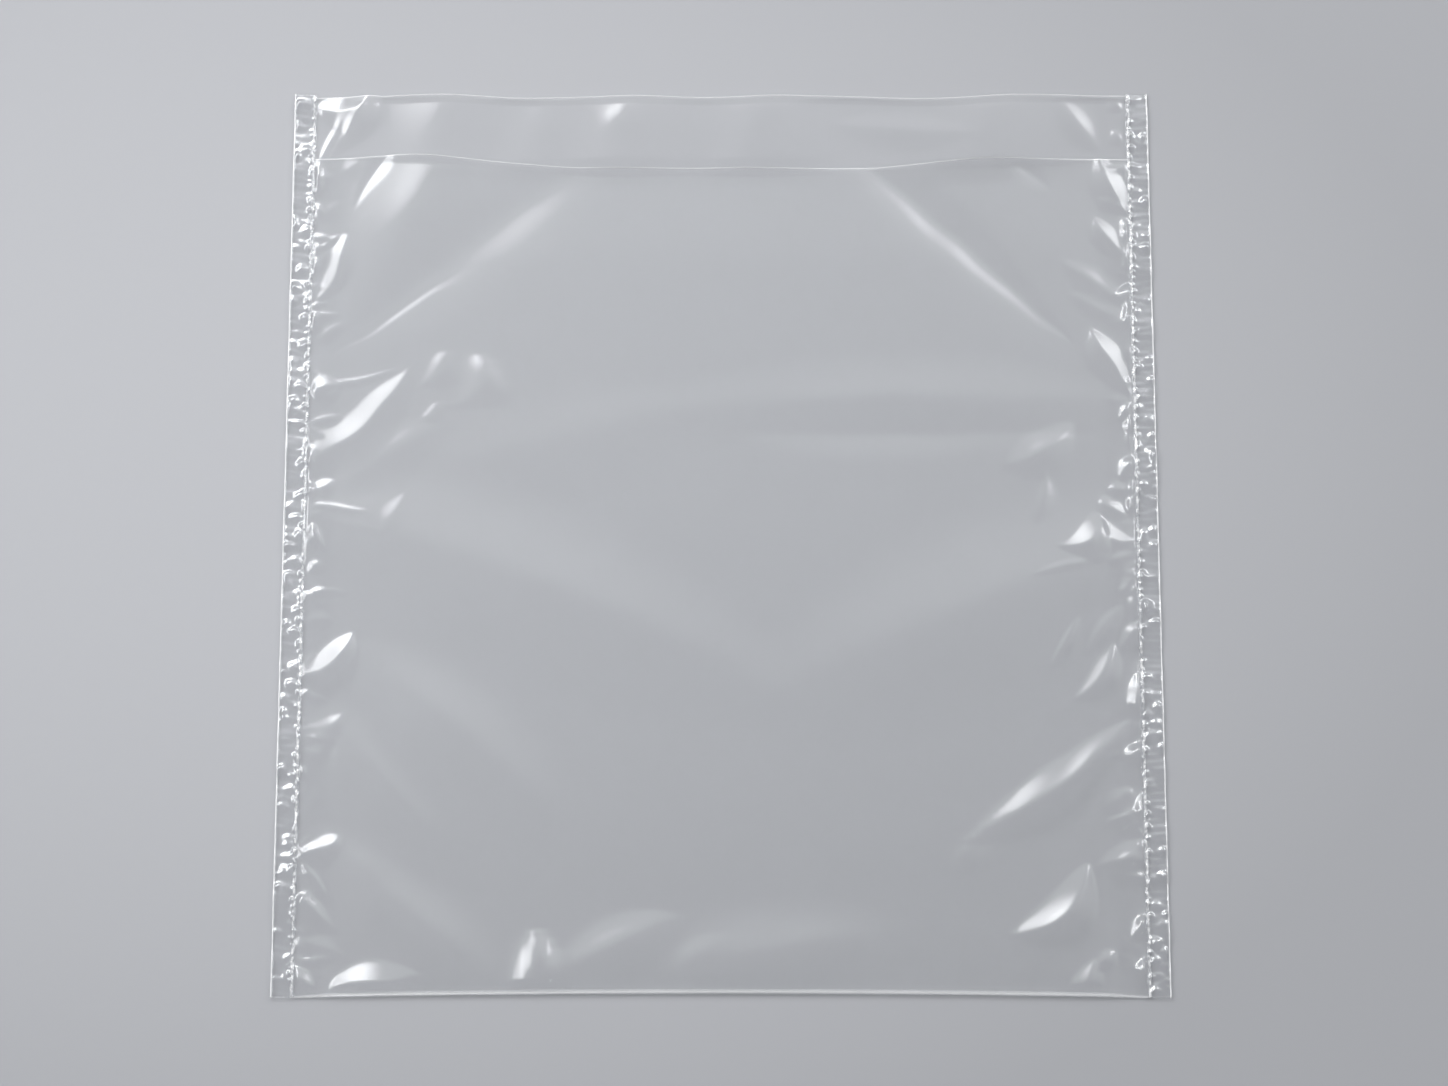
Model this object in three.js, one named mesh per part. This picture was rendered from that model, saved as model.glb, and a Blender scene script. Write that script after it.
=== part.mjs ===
// Clear flat film bag with a lip, lying on its back. One film is folded at the bottom and welded
// along both sides, and both panels run on past each weld as a narrow puckered skirt.
// Millimetres, +Z up. The origin is on the table under the middle of the bag; the mouth faces +Y.
import * as THREE from "three";

// The bag as it is cut and welded
const POCKET_WIDTH = 300; // between the two side welds
const POCKET_DEPTH = 305; // bottom fold to the front panel's mouth edge
const LIP_HEIGHT = 25; // back panel past the front panel's mouth edge
const WELD_WIDTH = 1.2; // fused line at each side
const SKIRT_WIDTH = 6.3; // both panels outside the weld
const FILM = 0.05; // gauge of the film
const BEAD = 0.5; // bead that the hot cut leaves along the skirt's outer edge

// How the film lies
const LOFT = 5.4; // height of the air held between the panels
const SIDE_RUN = 46; // from a weld to where the front panel is at full height
const FOLD_RUN = 52; // from the bottom fold to where the front panel is at full height
const FOLD_RADIUS = 0.9; // roll of the film at the bottom fold
const FOLD_ROLL_RUN = 18; // from a weld to where the fold has its full roll
const MOUTH_DIP = 0.9; // fall of the front panel towards its mouth edge
const MOUTH_RUN = 40; // length of that fall
const EDGE_LIFT = 0.9; // height of the welds over the table, highest point
const EDGE_LIFT_RUN = 12; // from a weld to where the back panel lies on the table
const LIP_WAVE = 0.8; // height of the soft waves across the lip
const LIP_CURL = 1.1; // curl of the lip's top edge
const LIP_CURL_RUN = 4; // length of that curl

// Bow of the free edges in the plane of the bag, and how far in it fades out
const FOLD_BOW = 1.5;
const LIP_BOW = 1.4;
const MOUTH_BOW = 2.4;
const BOW_RUN = 60;

// Creases that cut off the four corners, where the front panel steps down
const MOUTH_CORNER_IN = 92; // along the mouth edge, from a weld
const MOUTH_CORNER_DOWN = 70; // along the weld, from the mouth edge
const FOLD_CORNER_IN = 84; // along the bottom fold, from a weld
const FOLD_CORNER_UP = 92; // along the weld, from the bottom fold
const CORNER_STEP = 2.4; // height of the step
const CORNER_STEP_RUN = 20; // width of the step

// Gathers along each weld
const GATHER_PITCH = 13.5;
const GATHER_HEIGHT = 1.5;
const GATHER_RUN = 17; // from the weld to where they have died out
const SKIRT_PITCH = 11.5;
const SKIRT_PUCKER = 0.45;

// Large puckers that run out of the welds into the front panel. Side -1 is the left weld; along is
// measured from the bottom fold; angle is in degrees from straight across, up towards the mouth.
const PUCKERS = [
  { side: -1, along: 279, angle: 37, length: 46, width: 14, height: 2.0 },
  { side: -1, along: 246, angle: 62, length: 42, width: 13, height: 2.2 },
  { side: -1, along: 219, angle: 9, length: 46, width: 11, height: 1.8 },
  { side: -1, along: 193, angle: 39, length: 62, width: 16, height: 3.0 },
  { side: -1, along: 171, angle: -4, length: 42, width: 11, height: 1.8 },
  { side: -1, along: 112, angle: 40, length: 36, width: 15, height: 2.9 },
  { side: -1, along: 92, angle: 8, length: 34, width: 14, height: 1.7 },
  { side: -1, along: 52, angle: 14, length: 30, width: 13, height: 2.4 },
  { side: -1, along: 46, angle: -52, length: 40, width: 13, height: 2.0 },
  { side: 1, along: 279, angle: 62, length: 38, width: 14, height: 2.5 },
  { side: 1, along: 264, angle: 40, length: 34, width: 13, height: 2.1 },
  { side: 1, along: 214, angle: 56, length: 44, width: 15, height: 2.8 },
  { side: 1, along: 182, angle: 40, length: 52, width: 15, height: 2.0 },
  { side: 1, along: 157, angle: -8, length: 52, width: 13, height: 2.1 },
  { side: 1, along: 122, angle: -36, length: 36, width: 13, height: 2.2 },
  { side: 1, along: 92, angle: -35, length: 78, width: 15, height: 2.2 },
  { side: 1, along: 48, angle: -34, length: 60, width: 17, height: 2.6 },
  { side: 1, along: 18, angle: -42, length: 30, width: 13, height: 1.8 },
];

// Fineness of the skin
const ROW_STEP = 6.2;
const LIP_ROW_STEP = 5;
const HALF_COLUMNS = 14;
const COLUMN_CROWDING = 1.6; // above 1, columns stand closer beside the welds
const FOLD_STEPS = 4;

const HALF_POCKET = POCKET_WIDTH / 2;
const WELD_OUTER = HALF_POCKET + WELD_WIDTH;
const HALF_WIDTH = WELD_OUTER + SKIRT_WIDTH;
const LENGTH = POCKET_DEPTH + LIP_HEIGHT;
const FOLD_Y = -LENGTH / 2;

// 0 to 1 with level ends
const ease = (value) => THREE.MathUtils.smoothstep(value, 0, 1);

// 0 to 1, steepest at the start
const rise = (value) => Math.sin((Math.PI / 2) * THREE.MathUtils.clamp(value, 0, 1));

// Distance in from the nearer weld; negative on the skirts
const inset = (x) => HALF_POCKET - Math.abs(x);

// 1 in the middle of the width, 0 at the welds
const arch = (x) => Math.max(0, 1 - (x / HALF_POCKET) ** 2);

// Uneven wave between 0 and 1 along the length
function unevenWave(along, pitch, shift) {
  const turn = (2 * Math.PI * along) / pitch + shift;
  return 0.5 + 0.28 * Math.sin(turn) + 0.22 * Math.sin(0.63 * turn + 1.7 * shift + 0.9);
}

// Underside of the back panel
function backHeight(x, along) {
  const shift = x < 0 ? 0.4 : 2.1;
  const weld = EDGE_LIFT * (0.35 + 0.65 * unevenWave(along, GATHER_PITCH * 2, shift));
  const outside = THREE.MathUtils.clamp(-inset(x) / (WELD_WIDTH + SKIRT_WIDTH), 0, 1);
  const skirt = SKIRT_PUCKER * outside * unevenWave(along, SKIRT_PITCH, shift + 1);
  const near = 1 - ease(inset(x) / EDGE_LIFT_RUN);
  const onLip = ease((along - POCKET_DEPTH) / LIP_HEIGHT);
  const wave = LIP_WAVE * onLip * arch(x) * unevenWave(x, 58, 0.3);
  const curl = LIP_CURL * ease((along - LENGTH + LIP_CURL_RUN) / LIP_CURL_RUN);
  return (weld + skirt) * near + wave + curl;
}

// Roll radius of the bottom fold, down to the bare film at the welds
function foldRadius(x) {
  return FILM + (FOLD_RADIUS - FILM) * ease(inset(x) / FOLD_ROLL_RUN);
}

// Height of one pucker: it climbs fast out of its root at the weld and dies out along its length
function puckerHeight(pucker, x, along) {
  const turn = THREE.MathUtils.degToRad(pucker.angle);
  const inward = HALF_POCKET - pucker.side * x;
  const up = along - pucker.along;
  const reach = (inward * Math.cos(turn) + up * Math.sin(turn)) / pucker.length;
  if (reach <= 0 || reach >= 1) {
    return 0;
  }
  const across = up * Math.cos(turn) - inward * Math.sin(turn);
  const halfWidth = (pucker.width / 2) * (0.4 + 0.6 * reach ** 0.7);
  return pucker.height * Math.sin(Math.PI * reach ** 0.55) ** 2 * Math.exp(-((across / halfWidth) ** 2));
}

// Clear height between the two panels
function gap(x, along) {
  const d = inset(x);
  if (d <= 0) {
    return 0;
  }
  const fromMouth = POCKET_DEPTH - along;
  const mouthCorner = d / MOUTH_CORNER_IN + fromMouth / MOUTH_CORNER_DOWN - 1;
  const foldCorner = d / FOLD_CORNER_IN + along / FOLD_CORNER_UP - 1;
  const corner = Math.min(mouthCorner * MOUTH_CORNER_DOWN, foldCorner * FOLD_CORNER_UP) / CORNER_STEP_RUN;
  const step = CORNER_STEP * (1 - ease(0.5 + corner));
  const mouth = MOUTH_DIP * (1 - ease(fromMouth / MOUTH_RUN));
  const pillow = (LOFT - step - mouth) * rise(d / SIDE_RUN) * rise(along / FOLD_RUN);
  const gathered = ease(d / 4) * (1 - ease(d / GATHER_RUN)) * ease(along / GATHER_RUN);
  const gathers = GATHER_HEIGHT * gathered * unevenWave(along, GATHER_PITCH, x < 0 ? 0 : 1.4);
  const rooted = ease(d / 5) * ease(along / 8);
  const puckers = PUCKERS.reduce((sum, pucker) => sum + puckerHeight(pucker, x, along), 0);
  return 2 * (foldRadius(x) - FILM) + pillow + gathers + puckers * rooted;
}

// Extra height of the hot-cut bead, on top and underneath
function beadHeight(x) {
  const in_ = HALF_WIDTH - Math.abs(x);
  const share = Math.max(0, 1 - Math.abs(in_ - BEAD / 2) / (BEAD / 2));
  return ((BEAD - 2 * FILM) / 2) * share;
}

// Place along +Y of a point of the back panel
function backY(x, along) {
  const fold = (FOLD_BOW * arch(x) + foldRadius(x)) * (1 - ease(along / BOW_RUN));
  const lip = LIP_BOW * arch(x) * ease((along - LENGTH + BOW_RUN) / BOW_RUN);
  return FOLD_Y + along + fold - lip;
}

// Place along +Y of a point of the front panel
function frontY(x, along) {
  const fold = (FOLD_BOW * arch(x) + foldRadius(x)) * (1 - ease(along / BOW_RUN));
  const mouth = MOUTH_BOW * arch(x) * ease((along - POCKET_DEPTH + BOW_RUN) / BOW_RUN);
  return FOLD_Y + along + fold - mouth;
}

// Skin with shared points; a triangle with two equal corners is dropped
class Skin {
  constructor() {
    this.points = [];
    this.triangles = [];
    this.known = new Map();
  }

  point(x, y, z) {
    const key = [x, y, z].map((value) => Math.round(value * 1e4)).join();
    if (!this.known.has(key)) {
      this.known.set(key, this.points.length / 3);
      this.points.push(x, y, z);
    }
    return this.known.get(key);
  }

  triangle(a, b, c, turned = false) {
    if (a !== b && b !== c && c !== a) {
      this.triangles.push(...(turned ? [a, c, b] : [a, b, c]));
    }
  }

  // Joins two lines of points that run the same way. Seen with the first line nearer and both
  // running to the right, the skin faces the viewer, or away when it is turned. Both faces of a film
  // are cut along the same diagonals. axis picks the coordinate that the lines run along.
  join(first, second, axis, turned = false) {
    const place = (line, index) => Math.abs(this.points[3 * line[index] + axis] - this.points[3 * line[0] + axis]);
    let i = 0;
    let j = 0;
    while (i < first.length - 1 || j < second.length - 1) {
      const firstNext = i < first.length - 1 ? place(first, i + 1) : Infinity;
      const secondNext = j < second.length - 1 ? place(second, j + 1) : Infinity;
      const level = Math.abs(firstNext - secondNext) < 1e-6;
      const takeFirst = level ? first.length >= second.length : firstNext < secondNext;
      const even = first.length === second.length ? i <= j : takeFirst;
      if (even && i < first.length - 1) {
        this.triangle(first[i], first[i + 1], second[j], turned);
        i += 1;
      } else {
        this.triangle(first[i], second[j + 1], second[j], turned);
        j += 1;
      }
    }
  }

  geometry() {
    const geometry = new THREE.BufferGeometry();
    geometry.setAttribute("position", new THREE.Float32BufferAttribute(this.points, 3));
    geometry.setIndex(this.triangles);
    geometry.computeVertexNormals();
    return geometry;
  }
}

function evenly(from, to, step) {
  const count = Math.max(1, Math.round((to - from) / step));
  return Array.from({ length: count + 1 }, (_, k) => from + ((to - from) * k) / count);
}

// Columns across the width, left to right
const outerColumns = [HALF_WIDTH, HALF_WIDTH - BEAD / 2, HALF_WIDTH - BEAD, WELD_OUTER + SKIRT_WIDTH * 0.45];
outerColumns.push(WELD_OUTER);
const innerColumns = Array.from({ length: HALF_COLUMNS }, (_, k) => {
  return HALF_POCKET * (1 - (k / HALF_COLUMNS) ** COLUMN_CROWDING);
});
const rightColumns = [...outerColumns, ...innerColumns].reverse();
const columns = [...rightColumns.map((x) => -x).reverse(), 0, ...rightColumns];
const leftWeld = outerColumns.length;
const rightWeld = columns.length - 1 - leftWeld;

// Rows along the length, bottom fold to lip
const pocketRows = evenly(0, POCKET_DEPTH, ROW_STEP);
const flatLipRows = evenly(POCKET_DEPTH, LENGTH - LIP_CURL_RUN, LIP_ROW_STEP).slice(1);
const rows = [...pocketRows, ...flatLipRows, LENGTH - LIP_CURL_RUN / 2, LENGTH];
const mouthRow = pocketRows.length - 1;
const lastRow = rows.length - 1;

const skin = new Skin();
const isPocket = (i) => i >= leftWeld && i <= rightWeld;

// The four faces of the two panels
const backOuter = rows.map((along) =>
  columns.map((x) => skin.point(x, backY(x, along), backHeight(x, along) - beadHeight(x))),
);
const backInner = rows.map((along) =>
  columns.map((x, i) => (isPocket(i) ? skin.point(x, backY(x, along), backHeight(x, along) + FILM) : -1)),
);
const frontInner = pocketRows.map((along) =>
  columns.map((x, i) => {
    const y = frontY(x, along);
    return isPocket(i) ? skin.point(x, y, backHeight(x, along) + FILM + gap(x, along)) : -1;
  }),
);
const frontOuter = rows.map((along, j) =>
  columns.map((x, i) => {
    if (j > mouthRow && i > leftWeld && i < rightWeld) {
      return -1;
    }
    const y = j > mouthRow ? backY(x, along) : frontY(x, along);
    return skin.point(x, y, backHeight(x, along) + 2 * FILM + gap(x, along) + beadHeight(x));
  }),
);

// Where the back panel lies flat it needs no columns of its own between its two sides
const flatFrom = columns.findIndex((x, i) => i > leftWeld && inset(x) >= EDGE_LIFT_RUN);
const backColumns = (row, j) => {
  const full = j === 0 || j >= mouthRow;
  return row.filter((_, i) => full || i <= flatFrom || i >= columns.length - 1 - flatFrom);
};
const pocketPart = (row) => row.filter((index, i) => isPocket(i));
const backPocket = (row, j) => backColumns(row, j).filter((index) => index >= 0);

// Panels
for (let j = 0; j < lastRow; j += 1) {
  skin.join(backColumns(backOuter[j], j), backColumns(backOuter[j + 1], j + 1), 0, true);
  if (j < mouthRow) {
    skin.join(frontOuter[j], frontOuter[j + 1], 0);
    skin.join(pocketPart(frontInner[j]), pocketPart(frontInner[j + 1]), 0, true);
    skin.join(backPocket(backInner[j], j), backPocket(backInner[j + 1], j + 1), 0);
  } else {
    skin.join(pocketPart(backInner[j]), pocketPart(backInner[j + 1]), 0);
    skin.join(frontOuter[j].slice(0, leftWeld + 1), frontOuter[j + 1].slice(0, leftWeld + 1), 0);
    skin.join(frontOuter[j].slice(rightWeld), frontOuter[j + 1].slice(rightWeld), 0);
  }
}

// Mouth edge of the front panel
skin.join(pocketPart(frontOuter[mouthRow]), pocketPart(frontInner[mouthRow]), 0);

// Top edge of the lip and of the two skirts beside it
const lipTop = pocketPart(backInner[lastRow]);
const under = backOuter[lastRow];
const over = frontOuter[lastRow];
skin.join(lipTop, pocketPart(under), 0);
skin.join([...over.slice(0, leftWeld + 1), lipTop[0]], under.slice(0, leftWeld + 1), 0);
const rightUnder = under.slice(rightWeld).reverse();
const rightOver = [...over.slice(rightWeld).reverse(), lipTop[lipTop.length - 1]];
skin.join(rightUnder, rightOver, 0);

// Steps from the lip up to the skirts, and the hot-cut edges
const column = (face, i, from) => face.slice(from).map((row) => row[i]);
skin.join(column(backInner, leftWeld, mouthRow), column(frontOuter, leftWeld, mouthRow), 1);
skin.join(column(frontOuter, rightWeld, mouthRow), column(backInner, rightWeld, mouthRow), 1);
const last = columns.length - 1;
skin.join(column(frontOuter, 0, 0), column(backOuter, 0, 0), 1);
skin.join(column(backOuter, last, 0), column(frontOuter, last, 0), 1);

// Roll of the bottom fold between two faces, as lines of points from the lower to the upper one
function foldLines(lower, upper, inner) {
  const lines = [lower];
  for (let k = 1; k < FOLD_STEPS; k += 1) {
    const turn = (Math.PI * k) / FOLD_STEPS;
    const line = lower.map((index, n) => {
      const x = skin.points[3 * index];
      const y = skin.points[3 * index + 1];
      const low = skin.points[3 * index + 2];
      const high = skin.points[3 * upper[n] + 2];
      const deep = foldRadius(x) - inner;
      return skin.point(x, y - deep * Math.sin(turn), (low + high) / 2 - ((high - low) / 2) * Math.cos(turn));
    });
    lines.push(line);
  }
  lines.push(upper);
  return lines;
}
const foldOuter = foldLines(backOuter[0], frontOuter[0], 0);
const foldInner = foldLines(pocketPart(backInner[0]), pocketPart(frontInner[0]), FILM);
for (let k = 0; k < FOLD_STEPS; k += 1) {
  skin.join(foldOuter[k], foldOuter[k + 1], 0);
  skin.join(foldInner[k + 1], foldInner[k], 0);
}
for (let k = 1; k < FOLD_STEPS; k += 1) {
  skin.triangle(foldOuter[0][0], foldOuter[k][0], foldOuter[k + 1][0]);
  skin.triangle(foldOuter[0][last], foldOuter[k + 1][last], foldOuter[k][last]);
}

const film = new THREE.MeshStandardMaterial({ color: 0xe6e9ec, roughness: 0.1, metalness: 0 });
film.transparent = true;
film.opacity = 0.3;

const bag = new THREE.Mesh(skin.geometry(), film);
bag.name = "bag";

const part = new THREE.Group();
part.name = "plastic_flat_bag";
part.add(bag);

export default part;
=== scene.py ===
import bpy
import numpy as np
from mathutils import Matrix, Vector


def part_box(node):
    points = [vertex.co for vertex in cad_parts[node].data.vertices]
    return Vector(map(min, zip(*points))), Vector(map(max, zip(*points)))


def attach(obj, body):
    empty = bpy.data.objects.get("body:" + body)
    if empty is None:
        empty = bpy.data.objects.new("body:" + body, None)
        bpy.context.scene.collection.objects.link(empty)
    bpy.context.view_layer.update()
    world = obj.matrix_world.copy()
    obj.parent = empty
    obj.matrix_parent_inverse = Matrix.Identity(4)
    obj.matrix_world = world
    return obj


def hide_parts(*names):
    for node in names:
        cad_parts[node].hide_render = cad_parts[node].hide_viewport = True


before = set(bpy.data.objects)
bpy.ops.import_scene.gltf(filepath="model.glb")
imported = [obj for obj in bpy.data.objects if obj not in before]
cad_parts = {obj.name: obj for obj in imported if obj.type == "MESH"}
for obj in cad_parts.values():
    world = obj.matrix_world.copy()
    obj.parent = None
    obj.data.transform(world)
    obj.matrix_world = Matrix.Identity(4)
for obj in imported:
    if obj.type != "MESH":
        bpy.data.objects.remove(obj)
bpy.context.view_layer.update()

# Film pocket: one clear film, folded once across the bottom and laid back on itself. The front panel
# ends at the mouth, and the back panel runs on past it as the lip. Trapped air keeps the panels apart,
# and folds run out of the welds. It is worked out in millimetres; along counts from the bottom fold.

LOW, HIGH = (np.array(corner) * 1000 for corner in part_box("bag"))
WIDTH, LENGTH = (HIGH - LOW)[:2]
FOLD_Y = LOW[1]
LIP_HEIGHT = 25.0
POCKET_DEPTH = LENGTH - LIP_HEIGHT
WELD_WIDTH = 1.2
SKIRT_WIDTH = 6.3
SKIRT_SPAN = WELD_WIDTH + SKIRT_WIDTH
HALF_POCKET = WIDTH / 2 - SKIRT_SPAN
CUT_LENGTH = POCKET_DEPTH + LENGTH
FILM = 0.05
TUCK = 0.5  # how far the sheet runs on into each weld

# Pillow of trapped air and roll of the bottom fold. A RUN is the distance over which a form builds up.
LOFT = 3.0
SIDE_RUN = 80.0
FOLD_RUN = 70.0
MOUTH_DIP = 0.25
MOUTH_RUN = 40.0
FOLD_RADIUS = 0.9
FOLD_ROLL_RUN = 18.0
FOLD_GAP_RUN = 40.0
ROLL_STEPS = 8

# Welds, which stand off the table unevenly
EDGE_LIFT = 0.9
EDGE_LIFT_LEAST = 0.35
EDGE_LIFT_PITCH = 27.0
EDGE_LIFT_RUN = 12.0
LEFT_WAVE_SHIFT, RIGHT_WAVE_SHIFT = 0.4, 2.1

# Lip: its waves, the curl of its top edge right of LIP_CURL_X, and where its folds begin
LIP_WAVE = 0.8
LIP_WAVE_PITCH = 58.0
LIP_WAVE_SHIFT = 0.3
LIP_CURL = 0.8
LIP_CURL_RUN = 2.6
LIP_CURL_X = -142.0
LIP_CURL_X_RUN = 30.0
LIP_FOLD_START = POCKET_DEPTH - 3.0
LIP_FOLD_START_RUN = 4.0
LIP_FOLD_SIDE_RUN = 3.0

# Bows of the sheet's fold and cut edges
FOLD_BOW = 1.5
BOW_RUN = 60.0
LIP_BOW = 1.4
LIP_BOW_PITCH = 76.0
LIP_BOW_SHIFT = 1.2
LIP_BOW_ARCH = 0.4
MOUTH_BOW = 4.0
MOUTH_BOW_HALF = 40.0
MOUTH_BOW_SLOPE = 70.0
MOUTH_HUMP = 1.4
MOUTH_HUMP_X = -118.0
MOUTH_HUMP_RUN = 18.0

# Form of every fold: its outline, the rounding of crests and feet, and where crests grow coarser
LEAF_POWER = 0.8
LEAST_FLANK = 0.05
FAR_FLANK = 1.2
RIDGE_ROUNDING, CREASE_ROUNDING = 0.25, 0.1
FOOT_ROUNDING = 0.01
FINE_CREST, COARSE_CREST = 0.3, 1.0
COARSE_FROM, COARSE_RUN = 30.0, 30.0

# Making of the front panel's folds: their stray from straight lines, the distances over which they
# begin, and how many small folds and blisters chance adds
STRAY = 0.35
STRAY_LOSS = 0.5
STRAY_LOSS_FROM, STRAY_LOSS_RUN = 25.0, 30.0
STRAY_PITCH_ACROSS, STRAY_PITCH_ALONG = 26.0, 24.0
FOLD_SIDE_RUN = 2.0
FOLD_START_RUN = 4.0
SMALL_FOLD_COUNT = 80
BLISTER_COUNT = 36
BLISTER_SIDE_RUN = 1.2

# Folds of the front panel: the crest's root and tip (x, along), the width of its flank towards the
# mouth, where along the crest that is widest, its slope (below 0 for a crease), the crest's bow, and how
# softly the flank runs out. Those on the left and along the bottom come first, then those on the right,
# then the wide swells.
FRONT_FOLDS = [
    (-146, 228, -88, 326, 25, 0.65, 0.12, 0, 0.9),
    (-135, 285, -120, 312, 3.6, 0.65, -0.2, 0, 0),
    (-141, 298, -133, 304, 3.5, 0.5, 0.08, 0, 0.3),
    (-148, 281, -140, 289, 3.5, 0.5, 0.08, 0, 0.3),
    (-148, 270, -139, 276, 1.2, 0.5, 0.28, 0, 0),
    (-148, 250, -137, 276, 5, 0.6, 0.22, -2, 0),
    (-147, 251, -139, 266, 1.4, 0.5, 0.26, -2, 0),
    (-143, 229, -92, 265, 1.4, 0.5, -0.08, 0, 0),
    (-144, 229, -30, 325, 21, 0.5, -0.125, 0, 0.9),
    (-100, 211, -85, 230, 9, 0.7, 0.15, -6, 0),
    (-110, 219, -99, 232, 5, 0.6, 0.14, -3, 0),
    (-109, 206, -100, 214, 3, 0.5, 0.14, -1, 0),
    (-147, 236, -136, 243, 3, 0.4, 0.14, 0, 0.2),
    (-149, 217, -138, 220, 5, 0.4, 0.24, 0, 0),
    (-147, 218, -112, 226, 1.5, 0.4, 0.2, 0, 0.2),
    (-160, 186, -112, 226, 9, 0.5, 0.15, -6, 0),
    (-145, 180, -95, 208, 9, 0.5, 0.16, 0, 0.8),
    (-148, 180, -139, 184, 3.5, 0.5, 0.26, 0, 0.2),
    (-147, 175, -125, 172, 1.4, 0.3, 0.22, 0, 0),
    (-122, 164, -113, 180, 4, 0.5, 0.07, 0, 0.2),
    (-147, 170, -119, 165, 2, 0.6, 0.1, 0, 0.3),
    (-147, 168, -142, 159, 2.6, 0.5, 0.45, -1, 0),
    (-148, 151, -143, 155, 2.5, 0.5, 0.3, 0, 0),
    (-147, 144, -133, 143, 1.4, 0.4, 0.2, 0, 0),
    (-155, 113, -131, 129, 7, 0.6, 0.3, -6, 0),
    (-150, 95, -133, 100, 4.5, 0.5, 0.14, -4, 0.1),
    (-149, 86, -138, 89, 3.2, 0.5, 0.18, -3, 0.1),
    (-151, 55, -134, 56, 5.5, 0.65, 0.23, -5, 0),
    (-147, 47, -136, 31, 2.4, 0.4, 0.5, 0, 0.3),
    (-148, 35, -135, 21, 4, 0.4, 0.4, 0, 0.3),
    (-148, 21, -131, 12, 4, 0.4, 0.24, 0, 0.3),
    (-149, 11, -142, 2, 3.5, 0.5, 0.5, -1, 0),
    (-137, 0, -104, 6, 9, 0.4, 0.33, 0, 0),
    (-77, -7, -64, 23, 9, 0.55, 0.38, -6, 0),
    (-60, 4, -14, 27, 11, 0.5, 0.31, 0, 0.3),
    (-18, 5, 1, 20, 5, 0.5, 0.14, 0, 0.3),
    (-25, 6, 70, 22, 18, 0.4, 0.27, 0, 0.8),
    (150, 282, 138, 307, 5.5, 0.6, 0.3, -1, 0),
    (150, 283, 138, 291, 2.5, 0.6, 0.24, 0, 0.1),
    (150, 265, 137, 283, 4, 0.6, 0.29, -1, 0),
    (148.4, 245, 148.4, 258, 4.5, 0.6, 0.5, 0, 0),
    (150, 215, 135, 241, 5.5, 0.6, 0.31, -1, 0),
    (44, 317, 128, 234, 8, 0.4, -0.27, 0, 0.5),
    (30, 330, 140, 222, 20, 0.5, -0.06, 0, 0.9),
    (107, 305, 121, 293, 5, 0.4, -0.17, 0, 0.5),
    (124, 266, 148, 250, 5, 0.5, 0.17, 0, 0.4),
    (127, 254, 148, 243, 4, 0.5, 0.14, 0, 0.4),
    (144, 206, 149, 213, 3, 0.5, 0.4, 0, 0),
    (148.4, 200, 148.4, 208, 3, 0.5, 0.55, 0, 0),
    (144, 185, 149, 193, 3.2, 0.5, 0.42, 0, 0),
    (101, 189, 128, 205, 8, 0.55, 0.33, -3, 0.4),
    (117, 188, 113, 168, 4, 0.5, 0.26, -1.5, 0.4),
    (136, 177, 147, 171, 4, 0.4, 0.26, 0, 0),
    (120, 160, 137, 172, 7, 0.6, 0.33, -6, 0),
    (137, 170, 149, 162, 5, 0.4, 0.24, -4, 0),
    (111, 149, 136, 156, 1.8, 0.5, 0.34, 0, 0.2),
    (143, 142, 150, 151, 4, 0.6, 0.38, 0, 0),
    (148.4, 134, 148.4, 147, 3, 0.5, 0.5, 0, 0),
    (117, 114, 128, 135, 2.6, 0.5, 0.42, 0, 0),
    (125, 104, 141, 125, 5, 0.55, 0.42, -3, 0),
    (130, 120, 144, 139, 4, 0.5, 0.37, 0, 0.2),
    (142, 121, 150, 132, 4, 0.6, 0.38, 0, 0),
    (148.4, 98, 148.4, 115, 4, 0.5, 0.5, 0, 0),
    (143, 80, 149, 89, 4.5, 0.6, 0.42, 0, 0),
    (86, 54, 146, 98, 8.5, 0.5, 0.36, -4, 0),
    (80, 41, 94, 57, 5, 0.5, 0.32, 0, 0.3),
    (135, 66, 145, 73, 4, 0.5, 0.25, 0, 0.2),
    (135, 60, 148, 66, 3.5, 0.5, 0.28, 0, 0.2),
    (141, 57, 149, 61, 3, 0.5, 0.32, 0, 0.2),
    (148.4, 62, 148.4, 72, 3, 0.5, 0.5, 0, 0),
    (102, 20, 130, 46, 9, 0.5, 0.38, -7, 0),
    (131, 44, 154, 53, 5, 0.5, 0.42, 0, 0.4),
    (121, -2, 131, 13, 4.5, 0.5, 0.4, -2, 0),
    (131, 9, 138, 16, 3.2, 0.5, 0.38, 0, 0.2),
    (144, 20, 150, 28, 3.2, 0.5, 0.46, 0, 0),
    (148.4, 2, 148.4, 14, 3.5, 0.5, 0.5, 0, 0),
    (-200, 189, 34, 101, 28, 0.55, 0.18, 7, 0.75),
    (200, 176, 6, 100, 32, 0.55, 0.19, 4, 0.75),
    (-131, 124, -46, 53, 19, 0.45, 0.26, 0, 0.8),
    (-146, 105, -86, 37, 15, 0.45, 0.26, 0, 0.8),
    (-145, 59, -64, -12, 17, 0.45, 0.31, 0, 0.8),
    (-70, 206, 160, 213, 15, 0.6, 0.14, 4, 0.9),
    (4, 202, 140, 202, 10, 0.4, -0.18, 0, 0.8),
    (-115, 188, 0, 211, 18, 0.5, 0.09, 0, 0.9),
]

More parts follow.
